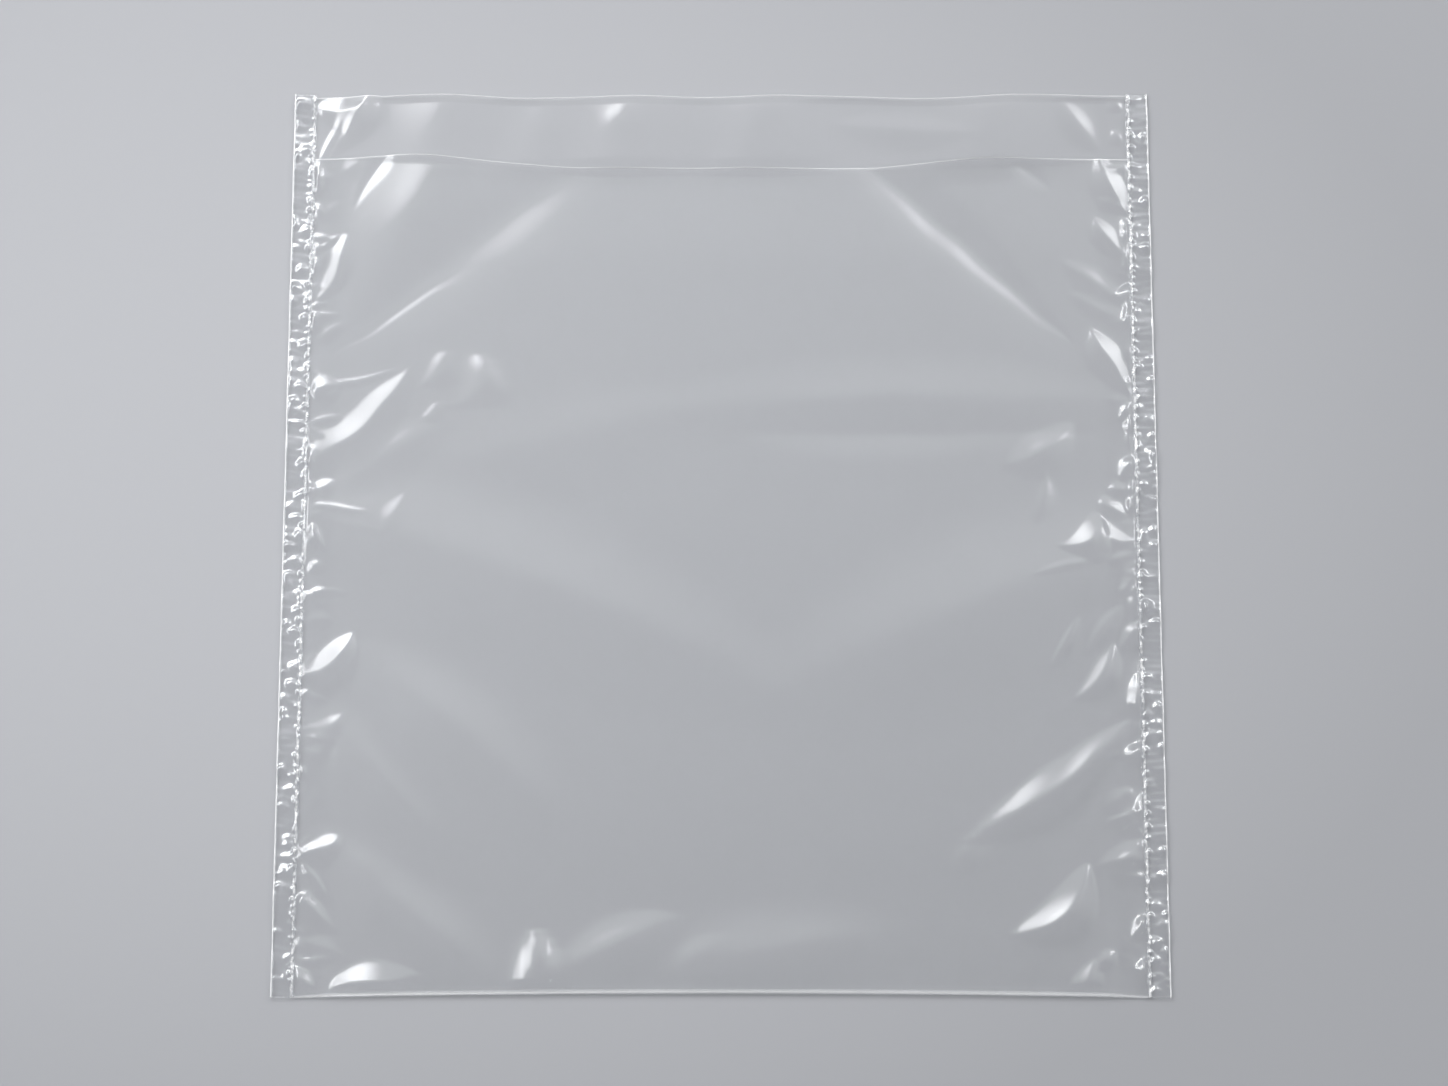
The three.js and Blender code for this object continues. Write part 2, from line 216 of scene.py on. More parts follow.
# Folds of the lip, in the same terms.
LIP_FOLDS = [
    (-146, 303, -128, 334, 8, 0.7, 0.2, 0, 0),
    (-151, 326, -125, 335, 8, 0.5, 0.22, -6, 0),
    (-140, 309, -131, 328, 3, 0.6, 0.18, 0, 0),
    (-148, 304, -140, 322, 1.6, 0.5, 0.26, 0, 0),
    (-120, 270, -88, 365, 22, 0.5, 0.115, 0, 0.6),
    (-83, 270, -51, 365, 13, 0.5, 0.11, 0, 0.6),
    (-50, 270, -20, 365, 28, 0.5, 0.15, 0, 0.6),
    (-2, 270, 30, 365, 24, 0.5, 0.17, 0, 0.6),
    (83, 270, 114, 365, 30, 0.5, 0.17, 0, 0.6),
    (40, 319, 95, 316, 6, 0.5, 0.14, 0, 0.5),
    (-42, 312, -34, 328, 4, 0.6, 0.13, 0, 0.2),
    (124, 329, 140, 308, 6, 0.5, 0.2, 0, 0.5),
    (144, 317, 148, 311, 2.5, 0.5, 0.26, 0, 0.2),
    (143, 330, 148, 324, 3, 0.5, 0.26, 0, 0.2),
]


def ease(value):
    """Smooth step from 0 to 1 with level ends."""
    value = np.clip(value, 0, 1)
    return value * value * (3 - 2 * value)


def rise(value):
    """Quarter sine from 0 to 1, steepest at the start."""
    return np.sin(np.pi / 2 * np.clip(value, 0, 1))


def inset(x):
    """Distance in from the nearer weld, negative on the skirts."""
    return HALF_POCKET - np.abs(x)


def arch(x):
    """Parabola that is 1 in the middle of the width and 0 at the welds."""
    return np.maximum(0, 1 - (x / HALF_POCKET) ** 2)


def uneven_wave(along, pitch, shift):
    """Two sines of unlike pitch, between 0 and 1."""
    turn = 2 * np.pi * along / pitch + shift
    return 0.5 + 0.28 * np.sin(turn) + 0.22 * np.sin(0.63 * turn + 1.7 * shift + 0.9)


def ripple(x, along, pitch, seed):
    """Eight plane sine waves of about one pitch, in chance directions, with a spread of about 1."""
    chance = np.random.default_rng(seed)
    total = np.zeros_like(x)
    for _ in range(8):
        heading, turn = chance.uniform(0, 2 * np.pi, 2)
        pace = 2 * np.pi / pitch * chance.uniform(0.6, 1.5)
        total += np.sin(pace * (x * np.cos(heading) + along * np.sin(heading)) + turn)
    return total / 2


def folds(table, x, along):
    """Sum of leaf-shaped folds. From a crest line, height falls over the flank towards the mouth, or
    away from it where the slope is below 0, and over FAR_FLANK times that width on the other side. The
    flank's width is a power of a half sine from root to tip that peaks at the belly, and a soft fold's
    slope dies away to its ends with that sine. Crests are rounded, more where the grid is coarse or the
    fold is soft, and so are the feet."""
    height = np.zeros_like(x)
    coarse = FINE_CREST + (COARSE_CREST - FINE_CREST) * ease((inset(x) - COARSE_FROM) / COARSE_RUN)
    for x0, along0, x1, along1, width, belly, slope, bow, fade in table:
        run, climb = x1 - x0, along1 - along0
        length = np.hypot(run, climb)
        share = np.clip(((x - x0) * run + (along - along0) * climb) / length**2, 0, 1)
        side = np.where(run < 0, -1, 1) * ((along - along0) * run - (x - x0) * climb) / length
        side = np.sign(slope) * (side - 4 * bow * (share - share**2))
        leaf = np.maximum(np.sin(np.pi * share ** (np.log(0.5) / np.log(belly))), 0)
        flank = np.maximum(width * leaf**LEAF_POWER, LEAST_FLANK)
        span = np.where(side > 0, flank, FAR_FLANK * flank)
        rounding = RIDGE_ROUNDING if slope > 0 else CREASE_ROUNDING
        crest = coarse + rounding * fade * width
        left = 1 - (np.hypot(side, crest) - crest) / span
        left = (left + np.sqrt(left**2 + FOOT_ROUNDING)) / (1 + np.sqrt(1 + FOOT_ROUNDING))
        left = left * (1 - ease(np.abs(side) / span - 1))
        ends = 1 - fade * (1 - leaf)
        height += slope * ends * flank * left ** (1 + fade) / (1 + fade)
    return height


def weld_height(x, along):
    """Height of each weld over the table: it is lifted unevenly along its length."""
    shift = np.where(x < 0, LEFT_WAVE_SHIFT, RIGHT_WAVE_SHIFT)
    wave = uneven_wave(along, EDGE_LIFT_PITCH, shift)
    return EDGE_LIFT * (EDGE_LIFT_LEAST + (1 - EDGE_LIFT_LEAST) * wave)


def fold_radius(x):
    """Roll of the bottom fold, down to the bare film at the welds."""
    return FILM + (FOLD_RADIUS - FILM) * ease(inset(x) / FOLD_ROLL_RUN)


def back_height(x, along):
    """Middle of the back film: flat on the table, lifted to the welds, waved and folded at the lip,
    and curled at the lip's edge but for its left corner."""
    lip = ease((along - POCKET_DEPTH) / LIP_HEIGHT)
    weld = weld_height(x, along) * (1 - ease(inset(x) / EDGE_LIFT_RUN))
    wave = LIP_WAVE * lip * arch(x) * uneven_wave(x, LIP_WAVE_PITCH, LIP_WAVE_SHIFT)
    curl = LIP_CURL * ease((along - LENGTH + LIP_CURL_RUN) / LIP_CURL_RUN)
    curl = curl * ease((x - LIP_CURL_X) / LIP_CURL_X_RUN)
    crease = folds(LIP_FOLDS, x, along) * ease((along - LIP_FOLD_START) / LIP_FOLD_START_RUN)
    crease = crease * ease(inset(x) / LIP_FOLD_SIDE_RUN)
    return FILM / 2 + weld + wave + curl + crease


def gap_height(x, along):
    """Clear height under the front panel: a pillow of trapped air that dips at the mouth, and the
    roll of the bottom fold."""
    deep = np.maximum(inset(x), 0)
    mouth = 1 - MOUTH_DIP * (1 - ease((POCKET_DEPTH - along) / MOUTH_RUN))
    roll = 2 * (fold_radius(x) - FILM) * (1 - ease(along / FOLD_GAP_RUN))
    return roll + LOFT * rise(deep / SIDE_RUN) * rise(along / FOLD_RUN) * mouth


def fold_shift(x, along):
    """How far the bottom fold's bow and roll push a point towards the mouth."""
    return (FOLD_BOW * arch(x) + fold_radius(x)) * (1 - ease(along / BOW_RUN))


# Grid of the sheet: columns stand closest beside the welds, and rows are finest on the front panel
# and the lip. The middle's columns spread as a power of their number.
FRONT_STEP, BACK_STEP, LIP_STEP = 0.8, 5.0, 0.8
WELD_BAND, WELD_STEP = 6.0, 0.5
SIDE_BAND, SIDE_STEP = 46.0, 0.8
MIDDLE_COLUMNS, MIDDLE_POWER = 36, 1.2
near_weld = np.arange(0, WELD_BAND, WELD_STEP)
beside = np.arange(WELD_BAND, SIDE_BAND, SIDE_STEP)
middle = SIDE_BAND + (HALF_POCKET - SIDE_BAND) * np.linspace(0, 1, MIDDLE_COLUMNS) ** MIDDLE_POWER
half_columns = np.concatenate([[-TUCK], near_weld, beside, middle]) - HALF_POCKET
columns = np.concatenate([half_columns, -half_columns[-2::-1]])
front_rows = np.linspace(0, POCKET_DEPTH, round(POCKET_DEPTH / FRONT_STEP) + 1)
back_rows = np.concatenate(
    [
        np.linspace(0, POCKET_DEPTH, round(POCKET_DEPTH / BACK_STEP), endpoint=False),
        np.linspace(POCKET_DEPTH, LENGTH, round(LIP_HEIGHT / LIP_STEP) + 1),
    ]
)


def back_panel():
    """Back panel from the fold to the lip's top edge, as rows by columns of points."""
    x, along = np.meshgrid(columns, back_rows)
    bow = LIP_BOW * (uneven_wave(x, LIP_BOW_PITCH, LIP_BOW_SHIFT) + LIP_BOW_ARCH * arch(x))
    y = FOLD_Y + along + fold_shift(x, along) - bow * ease((along - LENGTH + BOW_RUN) / BOW_RUN)
    return np.stack([x, y, back_height(x, along)], axis=-1)


def small_folds(count, seed):
    """Chance short folds that start at the welds, left and right by turns, in the terms of the fold
    lists."""
    chance = np.random.default_rng(seed)
    side = np.where(np.arange(count) % 2, 1, -1)
    root = chance.uniform(4, POCKET_DEPTH - 2, count)
    turn = np.radians(chance.normal(8, 30, count))
    length = chance.uniform(4, 14, count)
    width = 0.25 * length * chance.uniform(0.6, 1.3, count)
    belly, slope = chance.uniform(0.3, 0.7, count), chance.uniform(0.06, 0.36, count)
    bow, fade = np.zeros(count), np.full(count, 0.3)
    tip = HALF_POCKET - length * np.cos(turn)
    crest = [side * (HALF_POCKET + TUCK), root, side * tip, root + length * np.sin(turn)]
    return np.stack([*crest, width, belly, slope, bow, fade], axis=1)


def blisters(x, along, count, seed):
    """Chance bell-shaped bubbles of film that hug the welds, most of them on the right."""
    chance = np.random.default_rng(seed)
    height = np.zeros_like(x)
    for number in range(count):
        side = -1 if number % 3 == 0 else 1
        centre, place = chance.uniform(1.6, 2.6), chance.uniform(6, POCKET_DEPTH - 4)
        wide, tall, high = chance.uniform(1.1, 1.7), chance.uniform(1.6, 3.6), chance.uniform(0.4, 0.9)
        bell = ((HALF_POCKET - side * x - centre) / wide) ** 2 + ((along - place) / tall) ** 2
        height += high * np.exp(-bell)
    return height


def front_panel():
    """Front panel from the fold to the mouth edge: the pillow of air with the folds on it. The mouth
    edge bows in between its corners but for one hump, and the folds' places are shifted by a slow
    ripple, so that no crest is quite straight."""
    x, along = np.meshgrid(columns, front_rows)
    deep = np.maximum(inset(x), 0)
    bow = MOUTH_BOW * (1 - ease((np.abs(x) - MOUTH_BOW_HALF) / MOUTH_BOW_SLOPE))
    bow -= MOUTH_HUMP * np.exp(-(((x - MOUTH_HUMP_X) / MOUTH_HUMP_RUN) ** 2))
    y = FOLD_Y + along + fold_shift(x, along) - bow * ease((along - POCKET_DEPTH + BOW_RUN) / BOW_RUN)
    stray = STRAY * (1 - STRAY_LOSS * ease((deep - STRAY_LOSS_FROM) / STRAY_LOSS_RUN))
    bent_x = x + stray * ripple(x, along, STRAY_PITCH_ACROSS, seed=3)
    bent_along = along + stray * ripple(x, along, STRAY_PITCH_ALONG, seed=5)
    raised = folds(FRONT_FOLDS, bent_x, bent_along)
    raised += folds(small_folds(SMALL_FOLD_COUNT, seed=11), bent_x, bent_along)
    raised *= ease((deep + TUCK) / FOLD_SIDE_RUN)
    raised += blisters(x, along, BLISTER_COUNT, seed=7) * ease(deep / BLISTER_SIDE_RUN)
    gap = gap_height(x, along) + raised * ease(along / FOLD_START_RUN)
    return np.stack([x, y, back_height(x, along) + FILM + gap], axis=-1)


def fold_roll(front, back, steps):
    """Half ellipse from the front panel's first row down and round to the back panel's."""
    turn = np.linspace(0, np.pi, steps + 1)[1:-1, None]
    middle = (front[0] + back[0]) / 2
    half = (front[0, :, 2] - back[0, :, 2]) / 2
    x = np.broadcast_to(middle[:, 0], (steps - 1, len(middle)))
    y = middle[:, 1] - fold_radius(middle[:, 0]) * np.sin(turn)
    z = middle[:, 2] + half * np.cos(turn)
    return np.stack([x, y, z], axis=-1)


def grid_faces(rows, cols):
    """Quads over a grid of points, numbered row by row."""
    corner = (np.arange(rows - 1)[:, None] * cols + np.arange(cols - 1)).ravel()
    return np.stack([corner, corner + cols, corner + cols + 1, corner + 1], axis=1)


def mesh_piece(name, points, faces):
    """Smooth mesh object from points in millimetres."""
    mesh = bpy.data.meshes.new(name)
    mesh.from_pydata((points.reshape(-1, 3) / 1000).tolist(), [], faces.tolist())
    mesh.shade_smooth()
    piece = bpy.data.objects.new(name, mesh)
    bpy.context.scene.collection.objects.link(piece)
    return piece


def lay_uv(piece, across, along):
    """UV map that gives each corner its point's two values."""
    layer = piece.data.uv_layers.new(name="sheet")
    corners = np.empty(len(piece.data.loops), dtype=np.int32)
    piece.data.loops.foreach_get("vertex_index", corners)
    layer.data.foreach_set("uv", np.stack([across.ravel(), along.ravel()], axis=1)[corners].ravel())


back = back_panel()
front = front_panel()
sheet = np.concatenate([front[::-1], fold_roll(front, back, ROLL_STEPS), back])
bag = mesh_piece("film_bag", sheet, grid_faces(*sheet.shape[:2]))
roll_rows = np.full(ROLL_STEPS - 1, POCKET_DEPTH)
cut_rows = np.concatenate([POCKET_DEPTH - front_rows[::-1], roll_rows, POCKET_DEPTH + back_rows])
lay_uv(bag, *np.meshgrid(columns / WIDTH + 0.5, cut_rows / CUT_LENGTH))
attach(bag, "root")
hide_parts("bag")


class Socket:
    """A shader value: Python operators on it add Math nodes, and node() adds any other node."""

    def __init__(self, tree, link):
        self.tree = tree
        self.link = link

    def node(self, kind, settings=None, output=0, **inputs):
        made = self.tree.nodes.new(kind)
        for key, value in (settings or {}).items():
            setattr(made, key, value)
        for key, value in inputs.items():
            socket = made.inputs[int(key[1:])] if key[0] == "_" else made.inputs[key.replace("_", " ")]
            if isinstance(value, Socket):
                self.tree.links.new(value.link, socket)
            else:
                socket.default_value = value
        return Socket(self.tree, made.outputs[output])

    def maths(self, operation, first, second=0.0):
        return self.node("ShaderNodeMath", {"operation": operation}, _0=first, _1=second)

    def clamped(self):
        return self.node("ShaderNodeClamp", Value=self)

    def __abs__(self):
        return self.maths("ABSOLUTE", self)

    def __add__(self, other):
        return self.maths("ADD", self, other)

    def __radd__(self, other):
        return self.maths("ADD", other, self)

    def __sub__(self, other):
        return self.maths("SUBTRACT", self, other)

    def __rsub__(self, other):
        return self.maths("SUBTRACT", other, self)

    def __mul__(self, other):
        return self.maths("MULTIPLY", self, other)

    def __rmul__(self, other):
        return self.maths("MULTIPLY", other, self)

    def __truediv__(self, other):
        return self.maths("DIVIDE", self, other)

    def __pow__(self, other):
        return self.maths("POWER", self, other)


def new_material(name):
    """Empty node material: the material, a Socket to build on and the output's Surface socket."""
    made = bpy.data.materials.new(name)
    made.use_nodes = True
    made.node_tree.nodes.clear()
    output = made.node_tree.nodes.new("ShaderNodeOutputMaterial")
    return made, Socket(made.node_tree, None), output.inputs["Surface"]


# Film: the share that its two faces mirror face on, the colours that it mirrors and passes, and for the
# clear film its haze and how white it is at each edge, fading over the edge's RUN.
FACE_ON = 0.08
MIRROR_COLOUR = (0.96, 0.97, 0.98, 1)
CLEAR_COLOUR = (0.995, 0.997, 1, 1)
CLEAR_HAZE, CLEAR_ROUGHNESS = 0.04, 0.06
MOUTH_WHITE, MOUTH_WHITE_RUN = 0.6, 0.5
LIP_WHITE, LIP_WHITE_RUN = 0.5, 0.6
CREASE_WHITE, CREASE_WHITE_RUN = 0.25, 0.9


def film_surface(shader, haze, roughness):
    """Film that passes what it doesn't mirror or scatter. The share that it mirrors follows Schlick's
    curve up from FACE_ON, and haze is the share that scatters white."""
    facing = shader.node("ShaderNodeLayerWeight", output=1, Blend=0.5)
    mirror = FACE_ON + (1 - FACE_ON) * facing**5
    film = shader.node(
        "ShaderNodeBsdfPrincipled",
        Base_Color=MIRROR_COLOUR,
        Metallic=mirror / (mirror + haze),
        Roughness=roughness,
    )
    clear = shader.node("ShaderNodeBsdfTransparent", Color=CLEAR_COLOUR)
    return shader.node("ShaderNodeMixShader", _0=(mirror + haze).clamped(), _1=clear, _2=film)


def clear_film():
    """Clear film, whitened along its cut edges at the mouth and the lip and along the bottom fold."""
    made, shader, surface = new_material("clear film")
    place = shader.node("ShaderNodeUVMap", {"uv_map": "sheet"})
    down = shader.node("ShaderNodeSeparateXYZ", output=1, _0=place) * CUT_LENGTH
    mouth_edge = (1 - down / MOUTH_WHITE_RUN).clamped()
    lip_edge = (1 - (CUT_LENGTH - down) / LIP_WHITE_RUN).clamped()
    crease = (1 - abs(down - POCKET_DEPTH) / CREASE_WHITE_RUN).clamped()
    haze = CLEAR_HAZE + MOUTH_WHITE * mouth_edge + LIP_WHITE * lip_edge + CREASE_WHITE * crease
    made.node_tree.links.new(film_surface(shader, haze, CLEAR_ROUGHNESS).link, surface)
    return made


bag.data.materials.append(clear_film())

# Skirts: outside each weld the two panels lie together to the hot-cut outer edge. The weld and the cut
# edge are melted beads, milky and uneven, and the film between them is drawn into small cross puckers.

SKIRT_STEP = 0.55
PAIR = 0.12  # thickness of the two films together

# Puckers and spurs: how many, where they start, and the inset at which they have died out
PUCKER_COUNT, PUCKERS_FROM_EDGE = 90, 0.55
PUCKER_EDGE_ROOT, PUCKER_WELD_ROOT = WIDTH / 2 - 0.3, HALF_POCKET + 0.6
PUCKER_END, PUCKER_END_RUN = -SKIRT_SPAN - 0.1, 0.6
SPUR_COUNT, SPURS_OUTWARD = 240, 0.65
SPUR_ROOT = HALF_POCKET + 0.2

# Weld: its bead's place and form, and how far its line wanders, in a slow and a quick ripple
WELD_BEAD, WELD_BEAD_INSET, WELD_BEAD_RUN = 0.34, -0.1, 0.42
WELD_LUMP_MEAN, WELD_LUMP_SPREAD, WELD_LUMP_PITCH = 0.75, 0.45, 3.1
WELD_LUMP_RANGE = (0.2, 2.0)
SLOW_WANDER, SLOW_WANDER_PITCH = 0.16, 5.0
QUICK_WANDER, QUICK_WANDER_PITCH = 0.1, 2.2

# Cut edge: its round bead, drawn out to a skin at the very edge
CUT_BEAD, CUT_BEAD_HALF, CUT_SKIN = 0.42, 0.28, 0.02
CUT_BEAD_INSET = CUT_BEAD_HALF - SKIRT_SPAN
CUT_KNOT_MEAN, CUT_KNOT_SPREAD, CUT_KNOT_PITCH = 0.85, 0.3, 6.0
CUT_KNOT_RANGE = (0.5, 1.6)

# Flutter of the skirt: a wave that grows to the cut edge, and a fine grain drawn out across the skirt
FLUTTER, FLUTTER_PITCH = 0.5, 11.5
GRAIN, GRAIN_PITCH, GRAIN_DRAW = 0.05, 3.2, 0.3

# Stations of the skirt's section, as insets from the weld, closest at the two beads
section_insets = np.array(
    [0.7, 0.4, 0.1, -0.2, -0.5, -0.8, -1.1, -1.5, -2.0, -2.6, -3.3, -4.0, -4.7, -5.4, -6.0, -6.5]
    + [-6.9, -7.1, -7.25, -7.38, -7.47]
)


def cross_puckers(side, count, seed):
    """Chance leaf-shaped puckers across a skirt, from its cut edge or from its weld, in the terms of
    the fold lists."""
    chance = np.random.default_rng(seed)
    root = chance.uniform(2, LENGTH - 2, count)
    from_edge = chance.uniform(0, 1, count) < PUCKERS_FROM_EDGE
    length = chance.uniform(2.2, 5.6, count)
    lean = np.tan(np.radians(chance.normal(0, 14, count)))
    start = np.where(from_edge, PUCKER_EDGE_ROOT, PUCKER_WELD_ROOT)
    tip = start + np.where(from_edge, -length, length)
    width, belly = chance.uniform(0.8, 2.4, count), chance.uniform(0.25, 0.6, count)
    slope = chance.uniform(0.2, 0.65, count)
    bow, fade = np.zeros(count), np.full(count, 0.2)
    crest = [side * start, root, side * tip, root + lean * length]
    return np.stack([*crest, width, belly, slope, bow, fade], axis=1)


def weld_spurs(side, count, seed):
    """Chance short ridges that stand out of a weld to both sides, in the terms of the fold lists."""
    chance = np.random.default_rng(seed)
    root = chance.uniform(0.5, LENGTH - 0.5, count)
    outward = np.where(chance.uniform(0, 1, count) < SPURS_OUTWARD, 1, -1)
    length = chance.uniform(0.7, 2.4, count)
    lean = chance.normal(0, 0.5, count)
    start = np.full(count, SPUR_ROOT)
    width, slope = chance.uniform(0.5, 1.0, count), chance.uniform(0.3, 0.9, count)
    belly, bow, fade = np.full(count, 0.3), np.zeros(count), np.zeros(count)
    crest = [side * start, root, side * (start + outward * length), root + lean * length]
    return np.stack([*crest, width, belly, slope, bow, fade], axis=1)


def skirt_insets(along, seed):
    """Insets of the section's stations along the skirt: those at the weld wander with its line."""
    wander = SLOW_WANDER * ripple(along * 0, along, SLOW_WANDER_PITCH, seed)
    wander += QUICK_WANDER * ripple(along * 0, along, QUICK_WANDER_PITCH, seed + 1)
    return section_insets + wander * np.exp(-((section_insets / WELD_WIDTH) ** 2))


def skirt_middle(x, along, deep, side, seed):
    """Height of the skirt's middle surface: the weld's height, flutter, puckers and spurs."""
    outside = np.clip(-deep / SKIRT_SPAN, 0, 1)
    flutter = FLUTTER * outside * uneven_wave(along, FLUTTER_PITCH, seed)
    flutter = flutter + GRAIN * ripple(x * GRAIN_DRAW, along, GRAIN_PITCH, seed + 2)
    crossed = folds(cross_puckers(side, PUCKER_COUNT, seed + 3), x, along)
    crossed += folds(weld_spurs(side, SPUR_COUNT, seed + 4), x, along)
    return weld_height(x, along) + flutter + crossed * ease((deep - PUCKER_END) / PUCKER_END_RUN)


def skirt_thickness(along, deep, seed):
    """Two films, with a lumpy bell-shaped bead at the weld and a knotty round one at the cut edge."""
    lumps = WELD_LUMP_MEAN + WELD_LUMP_SPREAD * ripple(along * 0, along, WELD_LUMP_PITCH, seed + 5)
    bell = np.exp(-(((deep - WELD_BEAD_INSET) / WELD_BEAD_RUN) ** 2))
    weld = WELD_BEAD * np.clip(lumps, *WELD_LUMP_RANGE) * bell
    knots = CUT_KNOT_MEAN + CUT_KNOT_SPREAD * ripple(along * 0, along, CUT_KNOT_PITCH, seed + 6)
    circle = np.sqrt(np.clip(1 - ((deep - CUT_BEAD_INSET) / CUT_BEAD_HALF) ** 2, 0, 1))
    cut = CUT_BEAD * np.clip(knots, *CUT_KNOT_RANGE) * circle
    return np.where(deep < CUT_BEAD_INSET, np.maximum(cut, CUT_SKIN), np.maximum(PAIR + weld, cut))


def band_faces(rows, cols):
    """Quads of a closed tube of rows of cols points each, with its two ends capped by strips."""
    start = (np.arange(rows - 1)[:, None] * cols + np.arange(cols)).ravel()
    after = (np.arange(rows - 1)[:, None] * cols + (np.arange(cols) + 1) % cols).ravel()
    band = np.stack([start, start + cols, after + cols, after], axis=1)
    step = np.arange(cols // 2 - 1)
    cap = np.stack([step, step + 1, cols - 2 - step, cols - 1 - step], axis=1)
    last = (rows - 1) * cols
    return np.concatenate([band, cap, last + cap[:, ::-1]])


def skirt(name, side, seed):
    """Skirt as a closed band: its section runs over the top from the weld to the cut edge and back
    underneath, thick at both beads, and is carried along the weld."""
    along = np.linspace(0, LENGTH, round(LENGTH / SKIRT_STEP) + 1)[:, None]
    deep = skirt_insets(along, seed)
    x = side * (HALF_POCKET - deep)
    along = np.broadcast_to(along, x.shape)
    thick = skirt_thickness(along, deep, seed)
    middle = np.maximum(skirt_middle(x, along, deep, side, seed), thick / 2)
    y = FOLD_Y + along + fold_shift(np.full_like(x, HALF_POCKET), along)
    top = np.stack([x, y, middle + thick / 2], axis=-1)
    under = np.stack([x, y, middle - thick / 2], axis=-1)
    loop = np.concatenate([top, under[:, ::-1]], axis=1)
    faces = band_faces(*loop.shape[:2])
    if side > 0:
        faces = faces[:, ::-1]
    piece = mesh_piece(name, loop, faces)
    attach(piece, "root")
    return piece


# Skirt film: its haze, and how milky the weld and the cut edge are. The weld's milk lies in patches of a
# noise, from PATCH_LEVEL up.
SKIRT_HAZE, SKIRT_ROUGHNESS = 0.02, 0.1
WELD_MILK, WELD_MILK_PEAK, WELD_MILK_RUN = 0.55, 1.25, 0.55
CUT_MILK, CUT_MILK_INSET, CUT_MILK_RUN = 0.6, -6.95, 0.2
PATCH_SCALE, PATCH_LEVEL, PATCH_CONTRAST = 620.0, 0.42, 5.0


def skirt_film():
    """Two films pressed together: slightly hazy, milky in the weld, in patches, and along the cut."""
    made, shader, surface = new_material("skirt film")
    place = shader.node("ShaderNodeTexCoord", output=3)
    deep = HALF_POCKET - 1000 * abs(shader.node("ShaderNodeSeparateXYZ", output=0, _0=place))
    noise = shader.node("ShaderNodeTexNoise", Vector=place, Scale=PATCH_SCALE, Detail=2.0)
    patches = ((noise - PATCH_LEVEL) * PATCH_CONTRAST).clamped()
    weld = (WELD_MILK_PEAK - abs(deep - WELD_BEAD_INSET) / WELD_MILK_RUN).clamped() * patches
    cut = ((CUT_MILK_INSET - deep) / CUT_MILK_RUN).clamped()
    haze = SKIRT_HAZE + WELD_MILK * weld + CUT_MILK * cut
    made.node_tree.links.new(film_surface(shader, haze, SKIRT_ROUGHNESS).link, surface)
    return made


left_skirt = skirt("skirt_left", side=-1, seed=20)
right_skirt = skirt("skirt_right", side=1, seed=40)
melted = skirt_film()
left_skirt.data.materials.append(melted)
right_skirt.data.materials.append(melted)

# Floor: a pale grey table top, matt, with painted shade in its colour. The painted shade stands in for
# the fall-off of the lamps' light: the grey darkens slowly to the front right, and to all sides with the
# square of the distance from the bag's middle lines.

FLOOR_HALF = 3000.0
FLOOR_DROP = 0.2
# The two floor greys are the lit and the shaded ends of the painted shade.
FLOOR_PAINTED_LIT = (0.488, 0.496, 0.524, 1)
FLOOR_PAINTED_SHADE = (0.362, 0.368, 0.39, 1)
FLOOR_ROUGHNESS = 0.7
PAINTED_SHADE_MIDDLE, PAINTED_SHADE_RIGHT, PAINTED_SHADE_AWAY = 0.5, 0.7, -0.45
PAINTED_SHADE_RIGHT_SQUARED, PAINTED_SHADE_AWAY_SQUARED = 4.0, 8.0


def table_top():
    """Painted shade: a mix of a lit and a shaded grey by a sum of the place's two coordinates, in
    metres, and their squares.
    """
    made, shader, surface = new_material("table top")
    place = shader.node("ShaderNodeTexCoord", output=3)
    right = shader.node("ShaderNodeSeparateXYZ", output=0, _0=place)
    away = shader.node("ShaderNodeSeparateXYZ", output=1, _0=place)
    # Painted shade: the grey darkens to the right, to the front and away from the bag's middle lines,
    # for the lamps' fall-off.
    painted_shade = PAINTED_SHADE_MIDDLE + PAINTED_SHADE_RIGHT * right + PAINTED_SHADE_AWAY * away
    painted_shade = painted_shade + PAINTED_SHADE_RIGHT_SQUARED * right * right + PAINTED_SHADE_AWAY_SQUARED * away * away
    colour = shader.node(
        "ShaderNodeMix",
        {"data_type": "RGBA"},
        output=2,
        _0=painted_shade.clamped(),
        _6=FLOOR_PAINTED_LIT,
        _7=FLOOR_PAINTED_SHADE,
    )
    top = shader.node("ShaderNodeBsdfPrincipled", Base_Color=colour, Roughness=FLOOR_ROUGHNESS)
    made.node_tree.links.new(top.link, surface)
    return made


reach = np.array([-FLOOR_HALF, FLOOR_HALF])
floor_x, floor_y = np.meshgrid(reach, reach)
floor_points = np.stack([floor_x, floor_y, np.full((2, 2), -FLOOR_DROP)], axis=-1)
table = mesh_piece("table", floor_points, grid_faces(2, 2)[:, ::-1])
table.data.materials.append(table_top())

# Lights: a wide soft box behind the bag on the left, a smaller one behind it on the right, the smallest
# straight to its left, and a grey room with a band of light around its far half.

KEY_HEADING = Vector((-0.38, 0.62, 0.69)).normalized()
SIDE_HEADING = Vector((0.58, 0.5, 0.64)).normalized()
FILL_HEADING = Vector((-0.9, 0.15, 0.8)).normalized()
ROOM_COLOUR = (0.98, 0.99, 1, 1)
ROOM_LIGHT, BAND_LIGHT = 0.2, 1.1
BAND_LEAN, BAND_SPREAD = np.radians(48), np.radians(28)
FAR_LEVEL, FAR_GAIN = 0.4, 1.6


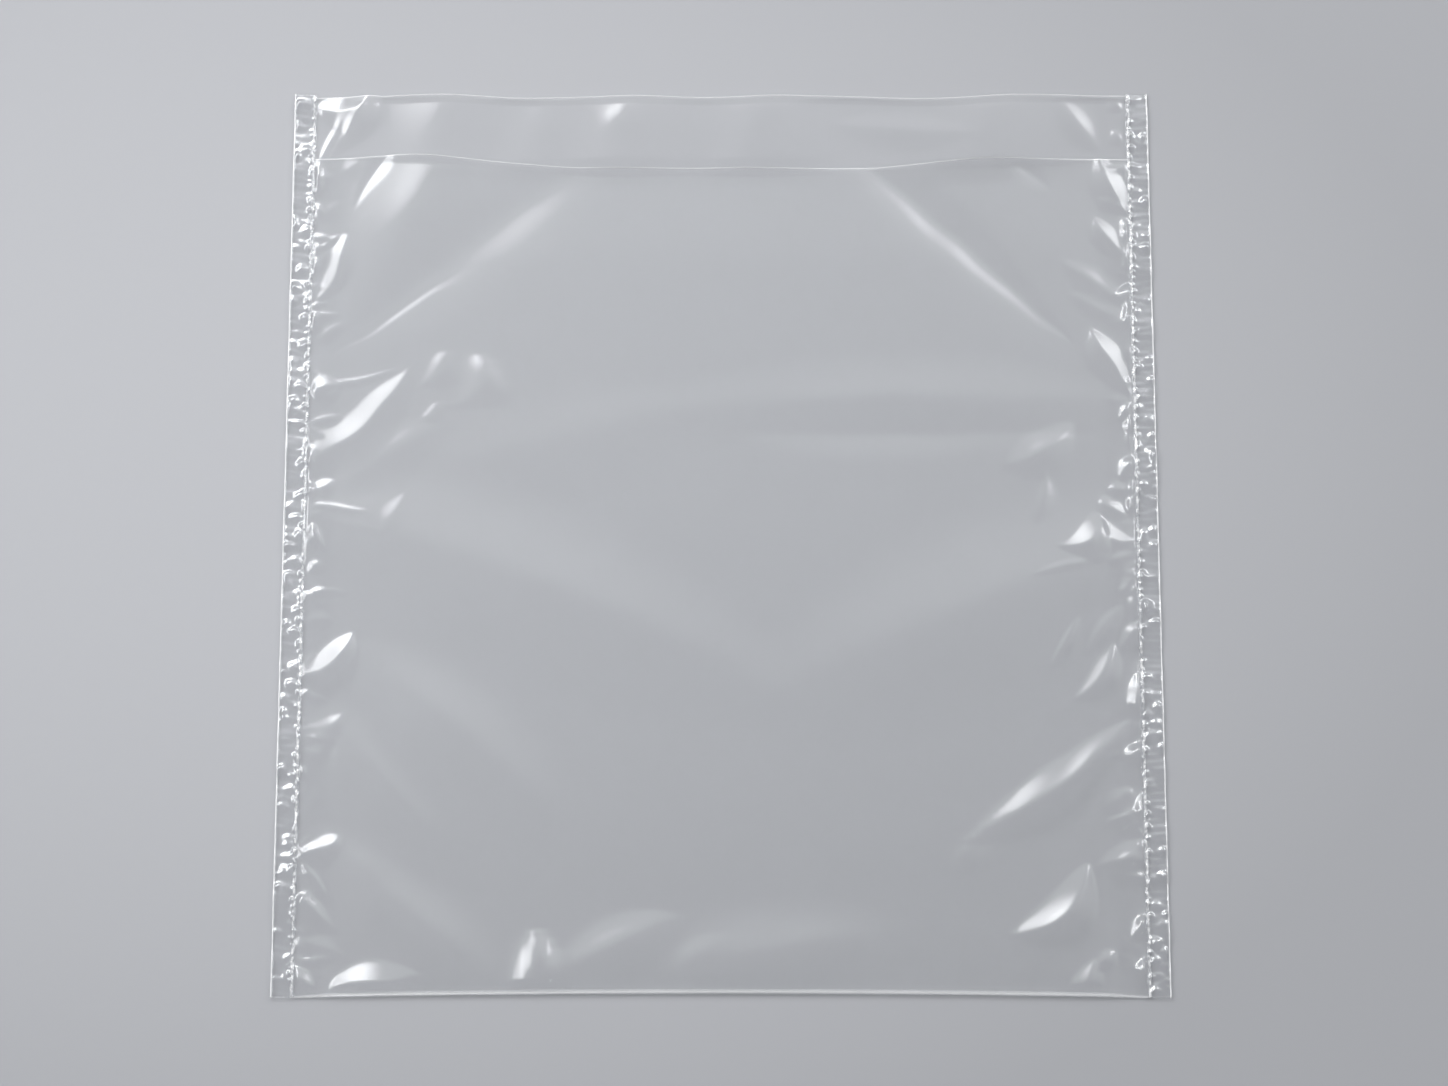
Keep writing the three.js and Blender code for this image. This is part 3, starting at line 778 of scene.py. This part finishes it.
def soft_box(name, heading, distance, size, radiance):
    """Area lamp turned to the bag. Its radiance falls from the middle to the edge as the square of one
    less the squared share of the way out; its watts are pi times its area times its radiance."""
    lamp = bpy.data.lights.new(name, "AREA")
    lamp.shape = "RECTANGLE"
    lamp.size, lamp.size_y = size
    lamp.energy = np.pi * size[0] * size[1] * radiance
    lamp.use_nodes = True
    face = Socket(lamp.node_tree, None)
    spot = face.node("ShaderNodeNewGeometry", output=5)
    across = face.node("ShaderNodeSeparateXYZ", output=0, _0=spot) * 2 - 1
    up = face.node("ShaderNodeSeparateXYZ", output=1, _0=spot) * 2 - 1
    fall = (1 - across * across - up * up).clamped()
    lamp.node_tree.links.new((fall * fall).link, lamp.node_tree.nodes["Emission"].inputs["Strength"])
    made = bpy.data.objects.new(name, lamp)
    made.location = heading * distance
    made.rotation_euler = (-heading).to_track_quat("-Z", "Y").to_euler()
    bpy.context.scene.collection.objects.link(made)


def grey_room():
    """World of an even grey, with a bell-shaped band of light at one lean from straight up, which is
    full on the far side of the bag and dies away on the near side."""
    room = bpy.data.worlds.new("room")
    room.use_nodes = True
    sky = Socket(room.node_tree, None)
    towards = sky.node("ShaderNodeTexCoord", output=0)
    lean = sky.maths("ARCCOSINE", sky.node("ShaderNodeSeparateXYZ", output=2, _0=towards))
    off_band = ((lean - BAND_LEAN) / BAND_SPREAD) ** 2
    far = (FAR_LEVEL + FAR_GAIN * sky.node("ShaderNodeSeparateXYZ", output=1, _0=towards)).clamped()
    background = room.node_tree.nodes["Background"]
    background.inputs["Color"].default_value = ROOM_COLOUR
    strength = ROOM_LIGHT + BAND_LIGHT * sky.maths("EXPONENT", -1 * off_band) * far
    room.node_tree.links.new(strength.link, background.inputs["Strength"])
    return room


soft_box("key", KEY_HEADING, distance=1.9, size=(1.9, 1.3), radiance=9)
soft_box("side", SIDE_HEADING, distance=1.9, size=(1.5, 1.1), radiance=5)
soft_box("fill", FILL_HEADING, distance=1.4, size=(1.2, 0.9), radiance=6)
bpy.context.scene.world = grey_room()

# Camera: about 1 m up and nearly over the bag, seen from the fold's side and tilted up a little from
# straight down. Light passes through many layers of film, so many clear bounces are kept.

CAMERA_PLACE = (0.0011, -0.1805, 0.9971)
CAMERA_TILT = np.radians(10.07)

lens = bpy.data.cameras.new("camera")
lens.lens = 70
lens.sensor_width = 36
camera = bpy.data.objects.new("camera", lens)
camera.location = CAMERA_PLACE
camera.rotation_euler = (CAMERA_TILT, 0, 0)
scene = bpy.context.scene
scene.collection.objects.link(camera)
scene.camera = camera
scene.view_settings.view_transform = "Standard"
scene.cycles.max_bounces = 5
scene.cycles.diffuse_bounces = 2
scene.cycles.glossy_bounces = 3
scene.cycles.transparent_max_bounces = 24
